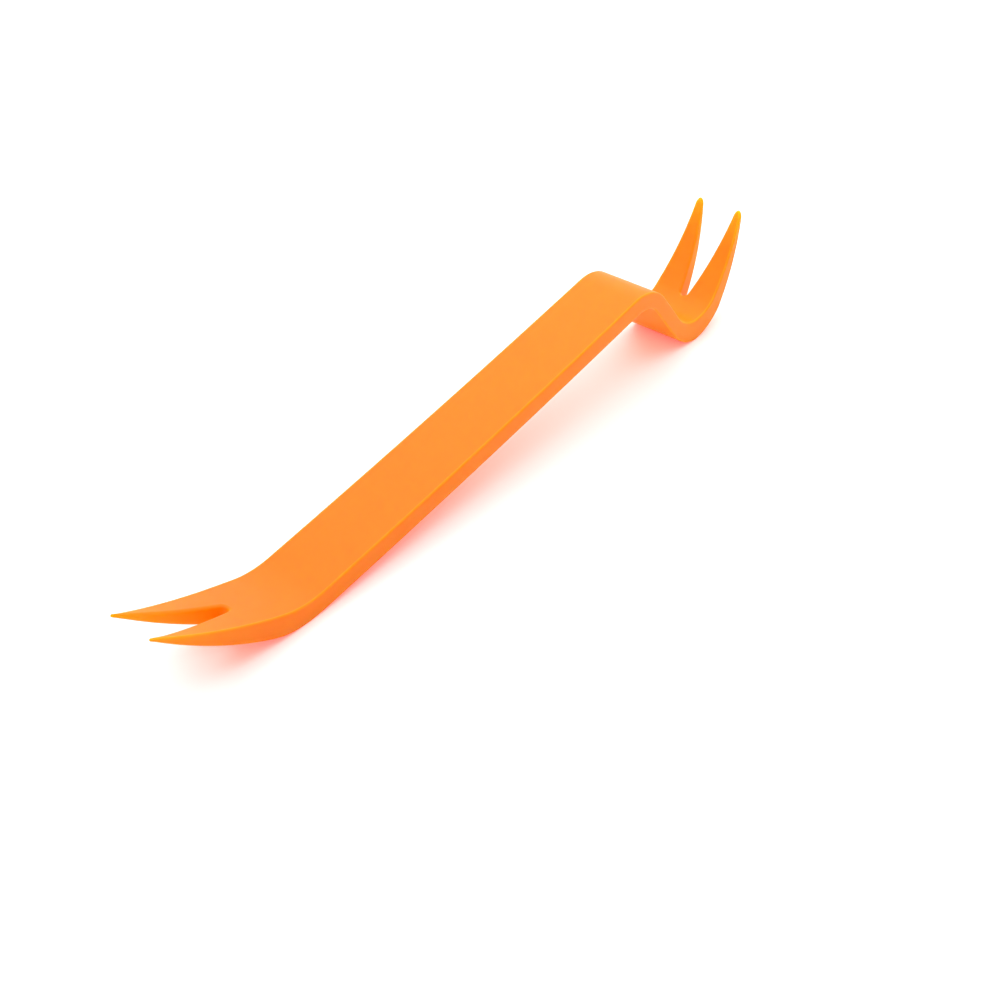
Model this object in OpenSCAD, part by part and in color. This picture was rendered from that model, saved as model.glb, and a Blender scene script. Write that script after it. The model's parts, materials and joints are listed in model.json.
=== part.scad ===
// Two-ended trim removal tool: one moulded plastic bar, split into two tines at each end.
// The shallow fork rises gently from the bar. The hooked fork drops below it and turns up again.
// The tool lies on its two heels, with its length along X, its width along Y and Z up.

/* [Bar] */
// Width of the bar
bar_width = 20; // [16:0.5:26]
// Thickness of the bar
bar_thickness = 5.5; // [4.5:0.1:8]
// Length of the stretch between the two bends
bar_length = 129; // [80:1:180]
// Angle that the bar bows upwards over its length
bar_bow = 2.4; // [0:0.2:8]
// Radius of the rounded long edges
edge_radius = 0.5; // [0.3:0.1:1.6]
// Width of the eased edges along the notches
notch_ease = 0.5; // [0.2:0.1:0.8]

/* [Shallow fork] */
// Radius of the upper face at the bend below the fork
shallow_bend_radius = 29; // [15:1:60]
// Angle between the bar and the fork
shallow_bend_angle = 26; // [15:1:40]
// Length of the fork, from the bend to its tips
shallow_fork_length = 40.8; // [34:0.2:55]
// Angle that the fork curls upwards over its length
shallow_fork_curl = 12; // [0:1:25]
// Thickness where the fork leaves the bend
shallow_root_thickness = 6.2; // [3:0.1:7.5]
// Thickness at the tips
shallow_tip_thickness = 0.7; // [0.5:0.1:2]
// Width over the outsides of the two tips
shallow_tip_spread = 13.2; // [9:0.2:20]
// Width of one tip
shallow_tip_width = 0.4; // [0.4:0.1:2]
// Depth of the notch, measured along the fork
shallow_notch_depth = 30.5; // [20:0.5:33]
// Width of the notch at its round bottom
shallow_notch_root = 3; // [1.5:0.1:4]

/* [Hooked fork] */
// Radius of the upper face at the crest, where the bar ends
crest_radius = 15; // [10:0.2:25]
// Angle that the crest turns down
crest_angle = 62.5; // [40:0.5:75]
// Length of the straight drop between the crest and the trough
drop_length = 14.4; // [8:0.2:25]
// Thickness of the drop
drop_thickness = 4.7; // [3:0.1:7]
// Radius of the upper face in the trough
trough_radius = 12; // [8:0.2:20]
// Angle that the trough turns up
trough_angle = 93; // [75:1:110]
// Thickness at the heel, under the middle of the trough
heel_thickness = 7; // [4.5:0.1:9]
// Length of the fork, from the trough to its tips
hook_fork_length = 27.8; // [20:0.2:40]
// Angle that the fork curls upwards over its length
hook_fork_curl = 28; // [0:1:40]
// Thickness at the tips
hook_tip_thickness = 1.2; // [0.8:0.1:3]
// Width over the outsides of the two tips
hook_tip_spread = 15.6; // [10:0.2:20]
// Width of one tip
hook_tip_width = 2; // [0.6:0.1:2.5]
// Depth of the notch, measured along the fork
hook_notch_depth = 29.5; // [20:0.5:36]
// Width of the notch at its round bottom
hook_notch_root = 2.6; // [1.5:0.1:4]

/* [Hidden] */

// How the outer edges of each fork draw in: 1 is straight, and more is bowed out
shallow_taper = 1.3;
hook_taper = 1.05;
// How each fork thins towards its tips: 1 is evenly, and more is later
shallow_thinning = 1.35;
hook_thinning = 1.1;
// Where in the trough the heel is thickest, as a share of its arc
heel_place = 0.57;
// The most of a wall's thickness that a rounded or an eased edge may take
edge_share = 0.45;
ease_share = 0.2;
// How blunt the round nose of a tine ends, as a share of its tip
nose_blunt = 0.3;
// How far a notch's cutter reaches past the faces and the tips
overrun = 1;
// Steps around one rounded edge, along the bar, along a fork, around half a notch's bottom and along
// its straight side
edge_steps = 4;
bar_steps = 5;
fork_steps = 20;
root_steps = 6;
side_steps = 16;
// Angle between two sections of a bend
bend_step = 3;

// The stretches of the upper face, in order from the shallow tips to the hooked tips
SHALLOW_FORK = 0;
SHALLOW_BEND = 1;
BAR = 2;
CREST = 3;
DROP = 4;
TROUGH = 5;
HOOK_FORK = 6;

function arc_length(radius, angle) = radius * angle * PI / 180;
function bend_steps(angle) = ceil(angle / bend_step);

shallow_bend_length = arc_length(shallow_bend_radius, shallow_bend_angle);
crest_length = arc_length(crest_radius, crest_angle);
trough_length = arc_length(trough_radius, trough_angle);
heel_to_tip = trough_length * (1 - heel_place) + hook_fork_length;

// Length, upward turn and number of sections of each stretch
STRETCHES = [
    [shallow_fork_length, shallow_fork_curl, fork_steps],
    [shallow_bend_length, shallow_bend_angle, bend_steps(shallow_bend_angle)],
    [bar_length, bar_bow, bar_steps],
    [crest_length, -crest_angle, bend_steps(crest_angle)],
    [drop_length, 0, 1],
    [trough_length, trough_angle, bend_steps(trough_angle)],
    [hook_fork_length, hook_fork_curl, fork_steps],
];

function blend(from, to, share) = from + (to - from) * share;
function smooth(share) = share * share * (3 - 2 * share);
function turned(p, angle) = [p.x * cos(angle) - p.y * sin(angle), p.x * sin(angle) + p.y * cos(angle)];

// Way covered in a share of a stretch that sets out along +X
function travel(stretch, share) =
    let (run = stretch[0] * share, turn = stretch[1] * share)
    turn == 0 ? [run, 0] : run / (turn * PI / 180) * [sin(turn), 1 - cos(turn)];

// Point and direction at the start of each stretch, with the bar setting out along +X
function start(i) =
    i == 0 ? [[0, 0], -shallow_fork_curl - shallow_bend_angle] :
    let (last = start(i - 1), stretch = STRETCHES[i - 1])
    [last[0] + turned(travel(stretch, 1), last[1]), last[1] + stretch[1]];
STARTS = [for (i = [SHALLOW_FORK : HOOK_FORK]) start(i)];

// A place is a stretch and a share of its length. This is the point at a depth below its upper face.
function below(place, depth) =
    let (stretch = STRETCHES[place[0]], from = STARTS[place[0]])
    from[0] + turned(travel(stretch, place[1]), from[1])
    + depth * turned([0, -1], from[1] + stretch[1] * place[1]);

// Distance along a fork from a place to the tips, and the place at such a distance
function to_tip(place) =
    place[0] == SHALLOW_FORK ? shallow_fork_length * place[1] :
    place[0] == HOOK_FORK ? hook_fork_length * (1 - place[1]) :
    hook_fork_length + trough_length * (1 - place[1]);
function from_tip(fork, distance) =
    fork == SHALLOW_FORK ? [SHALLOW_FORK, distance / shallow_fork_length] :
    distance < hook_fork_length ? [HOOK_FORK, 1 - distance / hook_fork_length] :
    [TROUGH, 1 - (distance - hook_fork_length) / trough_length];

function thickness(place) =
    let (i = place[0], share = place[1])
    i == SHALLOW_FORK ?
        blend(shallow_root_thickness, shallow_tip_thickness, pow(max(0, 1 - share), shallow_thinning)) :
    i == SHALLOW_BEND ? blend(shallow_root_thickness, bar_thickness, smooth(share)) :
    i == BAR ? bar_thickness :
    i == CREST ? blend(bar_thickness, drop_thickness, smooth(share)) :
    i == DROP ? drop_thickness :
    i == TROUGH && share < heel_place ?
        blend(drop_thickness, heel_thickness, smooth(share / heel_place)) :
    blend(heel_thickness, hook_tip_thickness, pow(max(0, 1 - to_tip(place) / heel_to_tip), hook_thinning));

// Sizes of a fork: the notch has straight sides that touch its round bottom
function tip_width(fork) = fork == SHALLOW_FORK ? shallow_tip_width : hook_tip_width;
function tip_spread(fork) = fork == SHALLOW_FORK ? shallow_tip_spread : hook_tip_spread;
function notch_depth(fork) = fork == SHALLOW_FORK ? shallow_notch_depth : hook_notch_depth;
function root_radius(fork) = (fork == SHALLOW_FORK ? shallow_notch_root : hook_notch_root) / 2;
function root_centre(fork) = notch_depth(fork) - root_radius(fork);
function notch_angle(fork) =
    let (mouth = tip_spread(fork) / 2 - tip_width(fork), centre = root_centre(fork))
    atan2(mouth, centre) - asin(root_radius(fork) / norm([centre, mouth]));

// A tine ends in a round nose: the share of its tip that is left at a distance from the end
function nose(fork, distance) =
    let (reach = 1 - min(max(distance / tip_width(fork), 0), 1))
    max(nose_blunt, sqrt(1 - reach * reach));
function nose_loss(fork, distance) = tip_width(fork) / 2 * (1 - nose(fork, distance));

function half_width(place) =
    let (i = place[0], share = place[1])
    i == SHALLOW_FORK ?
        blend(bar_width, shallow_tip_spread, pow(1 - share, shallow_taper)) / 2
            - nose_loss(i, to_tip(place)) :
    i == HOOK_FORK ?
        blend(bar_width, hook_tip_spread, pow(share, hook_taper)) / 2
            - nose_loss(i, to_tip(place)) :
    bar_width / 2;

// The places of the sections from tip to tip, closer together towards the tips
function spaced(i, share) =
    i == SHALLOW_FORK ? pow(share, 2) :
    i == HOOK_FORK ? 1 - pow(1 - share, 2) :
    share;
PLACES = concat(
    [for (i = [SHALLOW_FORK : HOOK_FORK])
        for (k = [0 : STRETCHES[i][2] - 1]) [i, spaced(i, k / STRETCHES[i][2])]],
    [[HOOK_FORK, 1]]
);

// The bar tilts until the heel of each fork touches the ground, and is centred over its length
function underside(first, last) =
    [for (place = PLACES) if (place[0] >= first && place[0] <= last) below(place, thickness(place))];
SHALLOW_HEEL = underside(SHALLOW_FORK, SHALLOW_BEND);
HOOK_HEEL = underside(DROP, HOOK_FORK);
tilt = max([for (a = SHALLOW_HEEL) min([for (b = HOOK_HEEL) atan2(b.y - a.y, b.x - a.x)])]);
OUTLINE = [for (place = PLACES) for (depth = [0, thickness(place)]) turned(below(place, depth), -tilt)];
REACH = [for (p = OUTLINE) p.x];
ground = [(min(REACH) + max(REACH)) / 2, min([for (p = OUTLINE) p.y])];

// A point of the tool: a place along it, a depth below its upper face and a distance off its middle
function spot(place, depth, side) =
    let (p = turned(below(place, depth), -tilt) - ground) [p.x, side, p.y];

// Skin over rings of points. Each ring is given by its left half, from top to bottom.
module skin(halves) {
    count = 2 * len(halves[0]);
    last = len(halves) - 1;
    points = [for (half = halves) each concat(
        half,
        [for (k = [len(half) - 1 : -1 : 0]) [half[k].x, -half[k].y, half[k].z]]
    )];
    walls = [for (r = [0 : last - 1]) for (k = [0 : count - 1])
        let (a = r * count + k, b = r * count + (k + 1) % count)
        each [[a, b, a + count], [b, b + count, a + count]]];
    strips = [for (k = [0 : count / 2 - 2]) [k, k + 1, count - 2 - k, count - 1 - k]];
    first_end = [for (strip = strips) [for (k = [3 : -1 : 0]) strip[k]]];
    last_end = [for (strip = strips) [for (k = strip) last * count + k]];
    polyhedron(points, concat(walls, first_end, last_end));
}

// Left half of a section across the tool: a rectangle with rounded corners
function half_section(place) =
    let (
        fork = place[0] == SHALLOW_FORK || place[0] == HOOK_FORK,
        full = thickness(place),
        thick = full * (fork ? nose(place[0], to_tip(place)) : 1),
        top = (full - thick) / 2,
        radius = min(edge_radius, edge_share * thick),
        side = half_width(place) - radius
    )
    [for (corner = [0, 1]) for (k = [0 : edge_steps])
        let (
            angle = 90 * (corner + k / edge_steps),
            middle = corner == 0 ? top + radius : top + thick - radius
        )
        spot(place, middle - radius * cos(angle), side + radius * sin(angle))];

// Half the outline of a notch that has grown sideways, from its bottom to past the tips of the fork:
// distance from the tips and half width
function notch_half(fork, growth) =
    let (
        angle = notch_angle(fork),
        radius = root_radius(fork) + growth,
        centre = root_centre(fork),
        straight = centre + radius * sin(angle)
    )
    concat(
        [for (k = [0 : root_steps])
            let (a = (90 - angle) * (2 * k + 1) / (2 * root_steps + 1))
            [centre + radius * cos(a), radius * sin(a)]],
        [for (k = [side_steps - 1 : -1 : -1])
            let (
                distance = k < 0 ? -overrun : straight * pow(k / side_steps, 2),
                half = radius * cos(angle) + (straight - distance) * tan(angle)
            )
            [distance, half + nose_loss(fork, distance)]]
    );

// A notch goes through both faces, and opens out where its edges are eased
module notch(fork) {
    walls = notch_half(fork, 0);
    halves = [for (k = [0 : len(walls) - 1])
        let (
            thick = thickness(from_tip(fork, walls[k][0])),
            ease = min(notch_ease, ease_share * thick),
            mouth = notch_half(fork, ease + overrun)[k]
        )
        [
            spot(from_tip(fork, mouth[0]), -overrun, mouth[1]),
            spot(from_tip(fork, walls[k][0]), ease, walls[k][1]),
            spot(from_tip(fork, walls[k][0]), thick - ease, walls[k][1]),
            spot(from_tip(fork, mouth[0]), thick + overrun, mouth[1]),
        ]];
    count = len(halves);
    skin(fork == SHALLOW_FORK ? [for (k = [count - 1 : -1 : 0]) halves[k]] : halves);
}

// The whole tool: a bar of changing section, notched at both ends
module pry_bar() {
    color("darkorange")
    difference() {
        skin([for (place = PLACES) half_section(place)]);
        notch(SHALLOW_FORK);
        notch(HOOK_FORK);
    }
}

pry_bar();
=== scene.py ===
"""Looks of a two-ended trim removal tool: one bar of satin orange plastic, forked at both ends.

Sizes are in millimetres and angles in degrees, as in the part's source. Blender works in metres.
"""
import json
import math

import bmesh
import bpy
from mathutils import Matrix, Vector


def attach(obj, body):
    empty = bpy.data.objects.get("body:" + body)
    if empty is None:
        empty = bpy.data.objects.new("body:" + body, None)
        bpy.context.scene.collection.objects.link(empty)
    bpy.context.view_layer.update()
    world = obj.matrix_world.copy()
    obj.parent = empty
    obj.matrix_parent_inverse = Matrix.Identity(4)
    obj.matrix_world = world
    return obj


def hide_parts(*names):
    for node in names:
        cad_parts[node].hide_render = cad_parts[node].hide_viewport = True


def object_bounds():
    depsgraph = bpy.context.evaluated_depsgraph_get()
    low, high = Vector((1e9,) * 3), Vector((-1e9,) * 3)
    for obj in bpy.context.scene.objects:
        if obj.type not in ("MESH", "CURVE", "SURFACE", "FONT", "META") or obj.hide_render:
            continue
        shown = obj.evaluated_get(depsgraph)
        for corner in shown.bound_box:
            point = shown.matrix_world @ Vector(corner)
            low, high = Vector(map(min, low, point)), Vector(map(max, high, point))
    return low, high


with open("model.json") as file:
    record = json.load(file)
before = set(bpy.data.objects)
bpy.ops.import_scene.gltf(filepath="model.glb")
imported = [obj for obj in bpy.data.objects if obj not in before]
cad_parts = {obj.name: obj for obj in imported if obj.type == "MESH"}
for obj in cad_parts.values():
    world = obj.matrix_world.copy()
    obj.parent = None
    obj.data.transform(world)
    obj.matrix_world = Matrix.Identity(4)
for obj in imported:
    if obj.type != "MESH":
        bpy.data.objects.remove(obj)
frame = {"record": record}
cad_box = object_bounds()
MM = 0.001

# Sizes of the bar
BAR_WIDTH = 20
BAR_THICKNESS = 5.5
BAR_LENGTH = 129
BAR_BOW = 2.4
# Roundings of the outer edges and, a little softer, of the edges of a notch
EDGE_RADIUS = 0.5
NOTCH_EDGE_RADIUS = 0.8

# Sizes of the shallow fork, and the power by which it thins towards its tips
SHALLOW_BEND_RADIUS = 29
SHALLOW_BEND_ANGLE = 26
SHALLOW_FORK_LENGTH = 40.8
SHALLOW_FORK_CURL = 12
SHALLOW_ROOT_THICKNESS = 6.2
SHALLOW_TIP_THICKNESS = 0.7
SHALLOW_THINNING = 1.35

# Sizes of the hooked fork, the share of the trough before its heel, and the power by which it thins
CREST_RADIUS = 15
CREST_ANGLE = 62.5
DROP_LENGTH = 14.4
DROP_THICKNESS = 4.7
TROUGH_RADIUS = 12
TROUGH_ANGLE = 93
HEEL_THICKNESS = 7
HEEL_PLACE = 0.57
HOOK_FORK_LENGTH = 27.8
HOOK_FORK_CURL = 28
HOOK_TIP_THICKNESS = 1.2
HOOK_THINNING = 1.1

# Fineness of the mesh: steps across a face, around an edge, down a side, round half a notch and round a tip
COLUMNS = 8
EDGE_STEPS = 6
SIDE_STEPS = 4
ROOT_STEPS = 10
NOSE_STEPS = 8
# Longest steps along a tine and along the bar, and the most that a step may turn
TINE_STEP = 0.8
BODY_STEP = 3.0
TURN_STEP = 2.0
# A narrow strip beside each rounded edge keeps the flats flat in the shading
GUARD = 0.2
GUARD_SHARE = 0.1
# The most of a wall that a rounded edge may take
EDGE_SHARE = 0.48
# Points closer than this, in metres, become one
MERGE_DISTANCE = 1e-6
# How much yellow is painted into the colour: a painted highlight along edges, painted light on the outer
# walls of tines, and painted light that lifts the shade on the walls of notches
EDGE_PAINTED_HIGHLIGHT = 0.2
TINE_WALL_PAINTED_LIGHT = 0.12
NOTCH_WALL_PAINTED_LIGHT = 0.14


def arc_length(radius, angle):
    """Length of an arc."""
    return radius * math.radians(angle)


def blend(start, end, share):
    """Value at a share of the way from start to end."""
    return start + (end - start) * share


def smooth(share):
    """Share that sets out and arrives slowly."""
    return share * share * (3 - 2 * share)


def turned(point, angle):
    """Point turned about the origin."""
    x, z = point
    cosine = math.cos(math.radians(angle))
    sine = math.sin(math.radians(angle))
    return (x * cosine - z * sine, x * sine + z * cosine)


def shifted(point, step):
    """Point moved by a step."""
    return (point[0] + step[0], point[1] + step[1])


# The upper face, from the shallow tips to the hooked tips: name, length and upward turn of each stretch
STRETCHES = [
    ("shallow_fork", SHALLOW_FORK_LENGTH, SHALLOW_FORK_CURL),
    ("shallow_bend", arc_length(SHALLOW_BEND_RADIUS, SHALLOW_BEND_ANGLE), SHALLOW_BEND_ANGLE),
    ("bar", BAR_LENGTH, BAR_BOW),
    ("crest", arc_length(CREST_RADIUS, CREST_ANGLE), -CREST_ANGLE),
    ("drop", DROP_LENGTH, 0),
    ("trough", arc_length(TROUGH_RADIUS, TROUGH_ANGLE), TROUGH_ANGLE),
    ("hook_fork", HOOK_FORK_LENGTH, HOOK_FORK_CURL),
]
BAR = [name for name, _, _ in STRETCHES].index("bar")
TOTAL = sum(length for _, length, _ in STRETCHES)
HEEL_TO_TIP = arc_length(TROUGH_RADIUS, TROUGH_ANGLE) * (1 - HEEL_PLACE) + HOOK_FORK_LENGTH


def travel(length, turn):
    """Way covered along an arc that sets out along +X."""
    if turn == 0:
        return (length, 0)
    radius = length / math.radians(turn)
    return (radius * math.sin(math.radians(turn)), radius * (1 - math.cos(math.radians(turn))))


def stretch_starts():
    """Distance, point and direction at the start of each stretch, with the bar setting out along +X."""
    starts = []
    distance = 0
    point = (0, 0)
    heading = -SHALLOW_FORK_CURL - SHALLOW_BEND_ANGLE
    for _, length, turn in STRETCHES:
        starts.append((distance, point, heading))
        distance += length
        point = shifted(point, turned(travel(length, turn), heading))
        heading += turn
    return starts


STARTS = stretch_starts()


def stretch_at(distance):
    """Number of the stretch that holds a distance from the shallow tips, and the share of it covered."""
    number = max(i for i, start in enumerate(STARTS) if i == 0 or start[0] <= distance)
    return number, (distance - STARTS[number][0]) / STRETCHES[number][1]


def below(distance, depth):
    """Point at a depth below the upper face, as X and Z with the bar setting out along +X."""
    number, share = stretch_at(distance)
    _, length, turn = STRETCHES[number]
    _, point, heading = STARTS[number]
    on_face = shifted(point, turned(travel(length * share, turn * share), heading))
    return shifted(on_face, turned((0, -depth), heading + turn * share))


def thickness(distance):
    """Thickness of the tool at a distance from the shallow tips."""
    number, share = stretch_at(distance)
    name = STRETCHES[number][0]
    if name == "shallow_fork":
        return blend(SHALLOW_ROOT_THICKNESS, SHALLOW_TIP_THICKNESS, (1 - share) ** SHALLOW_THINNING)
    if name == "shallow_bend":
        return blend(SHALLOW_ROOT_THICKNESS, BAR_THICKNESS, smooth(share))
    if name == "bar":
        return BAR_THICKNESS
    if name == "crest":
        return blend(BAR_THICKNESS, DROP_THICKNESS, smooth(share))
    if name == "drop":
        return DROP_THICKNESS
    if name == "trough" and share < HEEL_PLACE:
        return blend(DROP_THICKNESS, HEEL_THICKNESS, smooth(share / HEEL_PLACE))
    past_heel = max(0, 1 - (TOTAL - distance) / HEEL_TO_TIP)
    return blend(HEEL_THICKNESS, HOOK_TIP_THICKNESS, past_heel ** HOOK_THINNING)


# The bar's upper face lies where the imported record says: its middle and its outward normal
BAR_FACE = next(mount for mount in frame["record"]["mounts"] if mount["name"] == "bar_face")
BAR_TILT = math.degrees(math.atan2(-BAR_FACE["axis"][0], BAR_FACE["axis"][2])) - BAR_BOW / 2
BAR_MIDDLE = below(STARTS[BAR][0] + BAR_LENGTH / 2, 0)


def spot(distance, depth, side):
    """Point of the tool in metres: along it, below its upper face and off its middle."""
    x, z = below(distance, depth)
    x, z = turned((x - BAR_MIDDLE[0], z - BAR_MIDDLE[1]), BAR_TILT)
    return Vector(BAR_FACE["pos_m"]) + Vector((x, side, z)) * MM


class Fork:
    """One forked end: its tines narrow towards their tips, beside a notch with a round bottom.

    Walls thinner than a given size get yellow painted light that stands in for light coming through them, up
    to a given share where they are thinnest.
    """

    def __init__(
        self,
        length,
        tip_width,
        tip_spread,
        notch_depth,
        notch_root,
        taper,
        painted_light_below,
        painted_glow,
        at_start,
    ):
        self.length = length
        self.tip_width = tip_width
        self.tip_spread = tip_spread
        self.taper = taper
        self.painted_light_below = painted_light_below
        self.painted_glow = painted_glow
        self.at_start = at_start
        self.root_radius = notch_root / 2
        self.root_centre = notch_depth - self.root_radius
        mouth = tip_spread / 2 - tip_width
        to_centre = math.hypot(self.root_centre, mouth)
        self.angle = math.atan2(mouth, self.root_centre) - math.asin(self.root_radius / to_centre)

    def along(self, from_tip):
        """Distance from the shallow tips of a place that is this far from this fork's own tips."""
        return from_tip if self.at_start else TOTAL - from_tip

    def nose(self, from_tip):
        """Share of a tine's tip that its round nose leaves."""
        reach = 1 - min(max(from_tip / self.tip_width, 0), 1)
        return math.sqrt(1 - reach * reach)

    def nose_loss(self, from_tip):
        """What the nose takes off each side of a tine."""
        return self.tip_width / 2 * (1 - self.nose(from_tip))

    def outer(self, from_tip):
        """Half width over the outsides of the tines."""
        share = 1 - min(from_tip / self.length, 1)
        return blend(BAR_WIDTH, self.tip_spread, share ** self.taper) / 2 - self.nose_loss(from_tip)

    def inner(self, from_tip, growth):
        """Half width between the tines, along the straight sides of the notch."""
        to_centre = self.root_centre - from_tip
        straight = to_centre * math.tan(self.angle) + (self.root_radius + growth) / math.cos(self.angle)
        return straight + self.nose_loss(from_tip)

    def painted_through_light(self, size):
        """How much yellow painted light, standing in for light coming through, a wall of this size gets."""
        return self.painted_glow * max(1 - size / self.painted_light_below, 0) ** 2

    def wall_painted_light(self, from_tip):
        """How much painted light the top of a tine's outer wall gets, more near its tip."""
        return TINE_WALL_PAINTED_LIGHT * smooth(max(1 - from_tip / self.length, 0))

    def tine_distances(self):
        """Distances of the rows along the straight sides of the notch, from its bottom to the tips."""
        begin = self.root_centre + self.root_radius * math.sin(self.angle)
        count = math.ceil((begin - self.tip_width) / TINE_STEP)
        sides = [blend(begin, self.tip_width, k / count) for k in range(1, count)]
        angles = [math.pi / 2 * (1 - k / NOSE_STEPS) for k in range(NOSE_STEPS + 1)]
        nose = [self.tip_width * (1 - math.cos(angle)) for angle in angles]
        return sides + nose

    def notch_rows(self):
        """Rows around a notch: functions that give the distance and half width for a growth of the notch."""
        opening = math.pi / 2 - self.angle

        def on_root(angle):
            """Row at an angle round the bottom of the notch."""
            return lambda growth: (
                self.root_centre + (self.root_radius + growth) * math.cos(angle),
                (self.root_radius + growth) * math.sin(angle),
            )

        def on_side(from_tip):
            """Row on the straight side of the notch."""
            return lambda growth: (from_tip, self.inner(from_tip, growth))

        root = [on_root(opening * k / ROOT_STEPS) for k in range(ROOT_STEPS + 1)]
        return root + [on_side(d) for d in self.tine_distances()]

    def body_end(self):
        """Distance from the tips at which the notch and its rounded edge begin."""
        return self.root_centre + self.root_radius + NOTCH_EDGE_RADIUS


# Thin walls of each fork get yellow painted light, stronger at the hooked fork
SHALLOW = Fork(
    SHALLOW_FORK_LENGTH,
    tip_width=0.4,
    tip_spread=13.2,
    notch_depth=30.5,
    notch_root=3,
    taper=1.3,
    painted_light_below=6,
    painted_glow=0.26,
    at_start=True,
)
HOOK = Fork(
    HOOK_FORK_LENGTH,
    tip_width=2,
    tip_spread=15.6,
    notch_depth=29.5,
    notch_root=2.6,
    taper=1.05,
    painted_light_below=3.6,
    painted_glow=0.85,
    at_start=False,
)


def outer_half(distance):
    """Half width over the outside of the tool."""
    if distance < SHALLOW.length:
        return SHALLOW.outer(distance)
    if TOTAL - distance < HOOK.length:
        return HOOK.outer(TOTAL - distance)
    return BAR_WIDTH / 2


def guarded(start, end, count):
    """Steps across a flat, with a narrow one at each end."""
    guard = min(GUARD, GUARD_SHARE * abs(end - start)) * (1 if end > start else -1)
    inside = [blend(start + guard, end - guard, k / count) for k in range(count + 1)]
    return [start] + inside + [end]


def round_edge(radius):
    """Steps around a quarter of a circle: what is left of the radius, sideways and in depth."""
    angles = [math.pi / 2 * k / EDGE_STEPS for k in range(EDGE_STEPS + 1)]
    return [(radius * (1 - math.sin(a)), radius * (1 - math.cos(a))) for a in angles]


def outer_profile(inner, outer, top, bottom, radius, wall_painted_light):
    """Side, depth and painted light of points from the inside of the upper face round to that of the lower
    face.
    """
    face = [(side, 0, 0) for side in guarded(inner, outer - radius, COLUMNS)[:-1]]

    def edge(end_painted_glow):
        """Points around the outer edge, whose painted highlight goes over into the painted light of the wall
        beside it.
        """
        painted_glows = [blend(EDGE_PAINTED_HIGHLIGHT, end_painted_glow, k / EDGE_STEPS) for k in range(EDGE_STEPS + 1)]
        return [(outer - inset, depth, painted_glow) for (inset, depth), painted_glow in zip(round_edge(radius), painted_glows)]

    upper = [(side, top + depth, painted_glow) for side, depth, painted_glow in face + edge(wall_painted_light)]
    lower = [(side, bottom - depth, painted_glow) for side, depth, painted_glow in face + edge(0)]
    shares = guarded(0, 1, SIDE_STEPS)[1:-1]
    depths = [blend(top + radius, bottom - radius, share) for share in shares]
    # The wall's painted light is strongest at its top and fades downwards
    wall = [(outer, depth, wall_painted_light * (1 - share)) for depth, share in zip(depths, shares)]
    return upper + wall + lower[::-1]


def body_row(distance):
    """Half a section of the undivided bar: points, and how much painted light each gets."""
    thick = thickness(distance)
    radius = min(EDGE_RADIUS, EDGE_SHARE * thick)
    profile = outer_profile(0, outer_half(distance), 0, thick, radius, 0)
    return [(spot(distance, depth, side), painted_glow) for side, depth, painted_glow in profile]


def tine_row(fork, notch_row):
    """Section of one tine, closed round its outer side and its notch side: points, and how much painted
    light each gets.
    """
    wall_at, wall_half = notch_row(0)
    width = fork.outer(wall_at) - wall_half
    nose = fork.nose(wall_at)
    size = min(width, thickness(fork.along(wall_at)) * nose)
    notch_edge = min(NOTCH_EDGE_RADIUS, EDGE_SHARE * size)
    from_tip, inner = notch_row(notch_edge)
    thick = thickness(fork.along(from_tip))
    top = thick * (1 - nose) / 2
    bottom = thick - top
    edge_radius = min(EDGE_RADIUS, EDGE_SHARE * size)
    outer = fork.outer(from_tip)
    profile = outer_profile(inner, outer, top, bottom, edge_radius, fork.wall_painted_light(from_tip))
    points = [spot(fork.along(from_tip), depth, side) for side, depth, _ in profile]
    edge = [(notch_row(inset), depth) for inset, depth in round_edge(notch_edge)[1:]]
    lower = [spot(fork.along(d), bottom - depth, side) for (d, side), depth in edge]
    upper = [spot(fork.along(d), top + depth, side) for (d, side), depth in edge]
    wall = [lower[-1].lerp(upper[-1], share) for share in guarded(0, 1, SIDE_STEPS)[1:-1]]
    # Each point's painted light: yellow for light coming through thin walls, plus the painted highlight and
    # wall light of its profile
    painted_light = fork.painted_through_light(size)
    # Notch edges and walls get painted light that lifts their shade
    notch_edge_painted_light = [painted_light + NOTCH_WALL_PAINTED_LIGHT * smooth((k + 1) / EDGE_STEPS) for k in range(EDGE_STEPS)]
    painted_lights = [painted_light + painted_glow for _, _, painted_glow in profile]
    painted_lights += notch_edge_painted_light + notch_edge_painted_light[-1:] * len(wall) + notch_edge_painted_light[::-1]
    return list(zip(points + lower + wall + upper[::-1], painted_lights))


def body_distances():
    """Distances of the rows between the bottoms of the two notches, closer together in the bends."""
    begin = SHALLOW.along(SHALLOW.body_end())
    end = HOOK.along(HOOK.body_end())
    distances = [begin]
    for (start, _, _), (_, length, turn) in zip(STARTS, STRETCHES):
        first = max(start, begin)
        last = min(start + length, end)
        if last <= first:
            continue
        share = (last - first) / length
        count = math.ceil(max((last - first) / BODY_STEP, abs(turn) * share / TURN_STEP))
        distances += [blend(first, last, k / count) for k in range(1, count + 1)]
    return distances


def add_strip(mesh, rows, closed):
    """Four-sided faces between rows of equally many points."""
    painted_light = mesh.verts.layers.float["painted_light"]
    made = []
    for row in rows:
        vertices = [mesh.verts.new(point) for point, _ in row]
        # Each point keeps its painted light in a mesh attribute
        for vertex, (_, value) in zip(vertices, row):
            vertex[painted_light] = min(value, 1)
        made.append(vertices)
    count = len(made[0])
    for row, following in zip(made, made[1:]):
        for k in range(count if closed else count - 1):
            beside = (k + 1) % count
            mesh.faces.new((row[k], row[beside], following[beside], following[k]))


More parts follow.
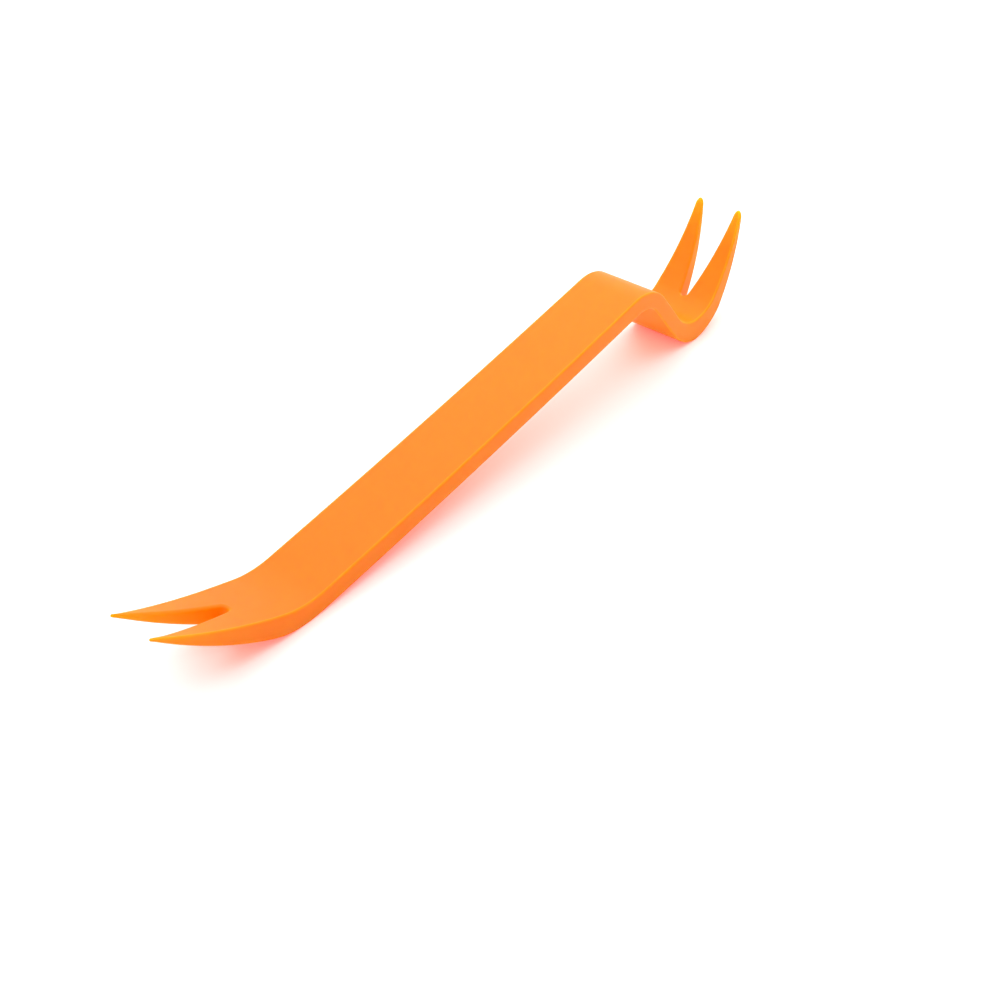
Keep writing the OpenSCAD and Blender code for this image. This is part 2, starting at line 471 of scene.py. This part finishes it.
def tool_mesh():
    """Both halves of the tool as one closed mesh."""
    mesh = bmesh.new()
    mesh.verts.layers.float.new("painted_light")
    add_strip(mesh, [body_row(d) for d in body_distances()], closed=False)
    for fork in (SHALLOW, HOOK):
        add_strip(mesh, [tine_row(fork, row) for row in fork.notch_rows()], closed=True)
    other_half = bmesh.ops.duplicate(mesh, geom=mesh.verts[:] + mesh.edges[:] + mesh.faces[:])
    for item in other_half["geom"]:
        if isinstance(item, bmesh.types.BMVert):
            item.co.y = -item.co.y
    bmesh.ops.remove_doubles(mesh, verts=mesh.verts, dist=MERGE_DISTANCE)
    bmesh.ops.dissolve_degenerate(mesh, edges=mesh.edges, dist=MERGE_DISTANCE)
    bmesh.ops.recalc_face_normals(mesh, faces=mesh.faces)
    return mesh


def make_tool():
    """The visible tool, in the place of its plain solid."""
    data = bpy.data.meshes.new("pry_bar_skin")
    mesh = tool_mesh()
    mesh.to_mesh(data)
    mesh.free()
    data.polygons.foreach_set("use_smooth", [True] * len(data.polygons))
    tool = bpy.data.objects.new("pry_bar_skin", data)
    bpy.context.collection.objects.link(tool)
    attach(tool, "root")
    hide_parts("pry_bar")
    return tool


# Painted shade: the plastic goes from a darker orange at the shallow fork to a lighter one, for the light
# that is weaker there; it is painted yellow where painted light stands in for light coming through thin
# walls and out along edges
LIT_ORANGE = (1.0, 0.24, 0.002, 1)
SHADED_ORANGE = (1.0, 0.19, 0.002, 1)
PAINTED_LIGHT_YELLOW = (1.0, 0.7, 0.0, 1)
# How much of that painted shade along the tool is cloudy
CLOUDY = 0.3
# Sizes of the clouds of colour, of the patches of finish, of the moulded waviness and of its fine grain
CLOUD_SIZE = 25
PATCH_SIZE = 4
WAVE_SIZE = 6
GRAIN_SIZE = 0.25
# How many finer layers each pattern has
CLOUD_DETAIL = 2
PATCH_DETAIL = 4
BUMP_DETAIL = 1
# Heights of the waviness and of the grain
WAVE_HEIGHT = 0.01
GRAIN_HEIGHT = 0.004
# Range of the roughness
SMOOTHEST = 0.36
ROUGHEST = 0.46
# How far red light spreads inside the plastic, and the shares of that for red, green and blue
SPREAD = 1.5
SPREAD_SHARES = (1.0, 0.48, 0.12)
# Strength of the plastic's reflection
SHINE = 0.16


def noise(tree, size, detail):
    """Cloudy pattern in the tool's own coordinates, with patches of about this size."""
    place = tree.nodes.new("ShaderNodeTexCoord")
    texture = tree.nodes.new("ShaderNodeTexNoise")
    texture.inputs["Scale"].default_value = 1 / (size * MM)
    texture.inputs["Detail"].default_value = detail
    tree.links.new(place.outputs["Object"], texture.inputs["Vector"])
    return texture.outputs["Fac"]


def ramp(tree, share, low, high):
    """Colour that goes from low to high with a share."""
    node = tree.nodes.new("ShaderNodeValToRGB")
    node.color_ramp.elements[0].color = low
    node.color_ramp.elements[1].color = high
    tree.links.new(share, node.inputs["Fac"])
    return node.outputs["Color"]


def painted_shade_along_tool(tree):
    """Share of the way from the shallow tips to the hooked tips, made a little cloudy, for the painted shade
    along the tool.
    """
    place = tree.nodes.new("ShaderNodeTexCoord")
    split = tree.nodes.new("ShaderNodeSeparateXYZ")
    tree.links.new(place.outputs["Object"], split.inputs["Vector"])
    share = tree.nodes.new("ShaderNodeMapRange")
    share.clamp = False
    share.inputs["From Min"].default_value = cad_box[0][0]
    share.inputs["From Max"].default_value = cad_box[1][0]
    share.inputs["To Min"].default_value = -CLOUDY / 2
    share.inputs["To Max"].default_value = 1 - CLOUDY / 2
    tree.links.new(split.outputs["X"], share.inputs["Value"])
    cloudy = tree.nodes.new("ShaderNodeMath")
    cloudy.operation = "MULTIPLY_ADD"
    cloudy.inputs[1].default_value = CLOUDY
    tree.links.new(noise(tree, CLOUD_SIZE, CLOUD_DETAIL), cloudy.inputs[0])
    tree.links.new(share.outputs["Result"], cloudy.inputs[2])
    return cloudy.outputs[0]


def plastic_colour(tree):
    """Orange with painted shade that darkens it towards the shallow fork, and yellow painted light where
    light would come through.
    """
    body = ramp(tree, painted_shade_along_tool(tree), SHADED_ORANGE, LIT_ORANGE)
    # Yellow painted light read from the mesh
    painted_light = tree.nodes.new("ShaderNodeAttribute")
    painted_light.attribute_name = "painted_light"
    mix = tree.nodes.new("ShaderNodeMixRGB")
    mix.inputs["Color2"].default_value = PAINTED_LIGHT_YELLOW
    tree.links.new(painted_light.outputs["Fac"], mix.inputs["Fac"])
    tree.links.new(body, mix.inputs["Color1"])
    return mix.outputs["Color"]


def plastic_roughness(tree):
    """Satin finish with slightly shinier patches."""
    spread = tree.nodes.new("ShaderNodeMapRange")
    spread.inputs["To Min"].default_value = SMOOTHEST
    spread.inputs["To Max"].default_value = ROUGHEST
    tree.links.new(noise(tree, PATCH_SIZE, PATCH_DETAIL), spread.inputs["Value"])
    return spread.outputs["Result"]


def bump(tree, size, height, under):
    """Raised pattern of this size and height, over another if there is one."""
    node = tree.nodes.new("ShaderNodeBump")
    node.inputs["Distance"].default_value = height * MM
    tree.links.new(noise(tree, size, BUMP_DETAIL), node.inputs["Height"])
    if under:
        tree.links.new(under, node.inputs["Normal"])
    return node.outputs["Normal"]


def plastic():
    """Satin orange plastic that lets a little light through."""
    material = bpy.data.materials.new("orange_plastic")
    material.use_nodes = True
    tree = material.node_tree
    shader = tree.nodes["Principled BSDF"]
    tree.links.new(plastic_colour(tree), shader.inputs["Base Color"])
    tree.links.new(plastic_roughness(tree), shader.inputs["Roughness"])
    waves = bump(tree, WAVE_SIZE, WAVE_HEIGHT, None)
    tree.links.new(bump(tree, GRAIN_SIZE, GRAIN_HEIGHT, waves), shader.inputs["Normal"])
    shader.inputs["Subsurface Weight"].default_value = 1.0
    shader.inputs["Subsurface Radius"].default_value = SPREAD_SHARES
    shader.inputs["Subsurface Scale"].default_value = SPREAD * MM
    shader.inputs["Specular IOR Level"].default_value = SHINE
    return material


# The camera looks at a point on the ground from where the photograph was taken
CAMERA_TARGET = (-6.491, -14.719, 0)
CAMERA_DISTANCE = 449.43
CAMERA_TURN = 38.999
CAMERA_DROP = 36.989
SENSOR = 36
LENS = 61.318


def make_camera():
    """The photograph's point of view."""
    data = bpy.data.cameras.new("camera")
    data.sensor_width = SENSOR
    data.lens = LENS
    camera = bpy.data.objects.new("camera", data)
    turn = math.radians(CAMERA_TURN)
    drop = math.radians(CAMERA_DROP)
    forward = Vector((math.cos(drop) * math.cos(turn), math.cos(drop) * math.sin(turn), -math.sin(drop)))
    camera.location = (Vector(CAMERA_TARGET) - forward * CAMERA_DISTANCE) * MM
    camera.rotation_euler = forward.to_track_quat("-Z", "Y").to_euler()
    bpy.context.collection.objects.link(camera)
    bpy.context.scene.camera = camera


# Width of the floor, and its colour
FLOOR_SIZE = 1200
FLOOR_COLOUR = (0.95, 0.95, 0.95, 1)
# What the camera sees of the floor even in shadow: mostly red, as light that has come through the plastic
FLOOR_LIFT = (0.9, 0.07, 0.07, 1)


def combine(tree, operation, first, second):
    """Output of an operation on two others."""
    node = tree.nodes.new("ShaderNodeMath")
    node.operation = operation
    tree.links.new(first, node.inputs[0])
    tree.links.new(second, node.inputs[1])
    return node.outputs[0]


def seen_directly(tree):
    """Output that is 1 where the camera, a mirror or glass looks, and 0 elsewhere."""
    path = tree.nodes.new("ShaderNodeLightPath")
    seen = path.outputs["Is Camera Ray"]
    for kind in ("Is Glossy Ray", "Is Transmission Ray"):
        seen = combine(tree, "MAXIMUM", seen, path.outputs[kind])
    return seen


def make_floor():
    """A white floor that keeps the shadow."""
    bpy.ops.mesh.primitive_plane_add(size=FLOOR_SIZE * MM)
    floor = bpy.context.object
    floor.name = "floor"
    material = bpy.data.materials.new("floor")
    material.use_nodes = True
    tree = material.node_tree
    tree.nodes.remove(tree.nodes["Principled BSDF"])
    matt = tree.nodes.new("ShaderNodeBsdfDiffuse")
    matt.inputs["Color"].default_value = FLOOR_COLOUR
    lift = tree.nodes.new("ShaderNodeEmission")
    lift.inputs["Color"].default_value = FLOOR_LIFT
    tree.links.new(seen_directly(tree), lift.inputs["Strength"])
    both = tree.nodes.new("ShaderNodeAddShader")
    tree.links.new(matt.outputs[0], both.inputs[0])
    tree.links.new(lift.outputs[0], both.inputs[1])
    tree.links.new(both.outputs[0], tree.nodes["Material Output"].inputs["Surface"])
    floor.data.materials.append(material)


# The studio is white up to a low height, and above that bright on one side. Heights are sines of angles
WHITE = (1, 1, 1, 1)
WHITE_LEVEL = 1.0
WHITE_UP_TO = 0.05
GREY_FROM = 0.12
# The camera, mirrors and glass see it white up to a greater height
SEEN_WHITE_UP_TO = 0.35
SEEN_GREY_FROM = 0.5
# Direction of the bright side of the ceiling, and the levels of light there and opposite
BRIGHT_SIDE = (-0.6, 0.6, 0.6)
BRIGHT_LEVEL = 1.15
DIM_LEVEL = 0.3


def white_below(tree, height, white_up_to, grey_from, above):
    """Level of light that is white up to a height, and then turns into the level above."""
    level = tree.nodes.new("ShaderNodeMapRange")
    level.interpolation_type = "SMOOTHSTEP"
    level.inputs["From Min"].default_value = white_up_to
    level.inputs["From Max"].default_value = grey_from
    level.inputs["To Min"].default_value = WHITE_LEVEL
    level.inputs["To Max"].default_value = 0
    if above:
        tree.links.new(above, level.inputs["To Max"])
    tree.links.new(height, level.inputs["Value"])
    return level.outputs["Result"]


def ceiling_level(tree, direction):
    """Level of light that grows towards the bright side."""
    towards = tree.nodes.new("ShaderNodeVectorMath")
    towards.operation = "DOT_PRODUCT"
    towards.inputs[1].default_value = Vector(BRIGHT_SIDE).normalized()
    tree.links.new(direction, towards.inputs[0])
    level = tree.nodes.new("ShaderNodeMapRange")
    level.inputs["From Min"].default_value = -1
    level.inputs["To Min"].default_value = DIM_LEVEL
    level.inputs["To Max"].default_value = BRIGHT_LEVEL
    tree.links.new(towards.outputs["Value"], level.inputs["Value"])
    return level.outputs["Result"]


def make_world():
    """White walls below a ceiling that is bright on one side."""
    world = bpy.data.worlds.new("studio")
    world.use_nodes = True
    tree = world.node_tree
    background = tree.nodes["Background"]
    background.inputs["Color"].default_value = WHITE
    direction = tree.nodes.new("ShaderNodeTexCoord").outputs["Generated"]
    split = tree.nodes.new("ShaderNodeSeparateXYZ")
    tree.links.new(direction, split.inputs["Vector"])
    height = split.outputs["Z"]
    light = white_below(tree, height, WHITE_UP_TO, GREY_FROM, ceiling_level(tree, direction))
    walls = white_below(tree, height, SEEN_WHITE_UP_TO, SEEN_GREY_FROM, None)
    seen_walls = combine(tree, "MULTIPLY", seen_directly(tree), walls)
    level = combine(tree, "MAXIMUM", light, seen_walls)
    tree.links.new(level, background.inputs["Strength"])
    bpy.context.scene.world = world


# Place and size of the lamp, and its power in watts
LAMP_PLACE = Vector((260, 120, 600))
LAMP_SIZE = 1200
LAMP_POWER = 5.4


def make_lamp():
    """A soft square lamp above the tool, facing it."""
    data = bpy.data.lights.new("overhead", "AREA")
    data.size = LAMP_SIZE * MM
    data.energy = LAMP_POWER
    lamp = bpy.data.objects.new("overhead", data)
    lamp.location = LAMP_PLACE * MM
    lamp.rotation_euler = (-LAMP_PLACE).to_track_quat("-Z", "Y").to_euler()
    bpy.context.collection.objects.link(lamp)


bpy.context.scene.view_settings.view_transform = "Standard"
tool = make_tool()
tool.data.materials.append(plastic())
make_camera()
make_floor()
make_world()
make_lamp()
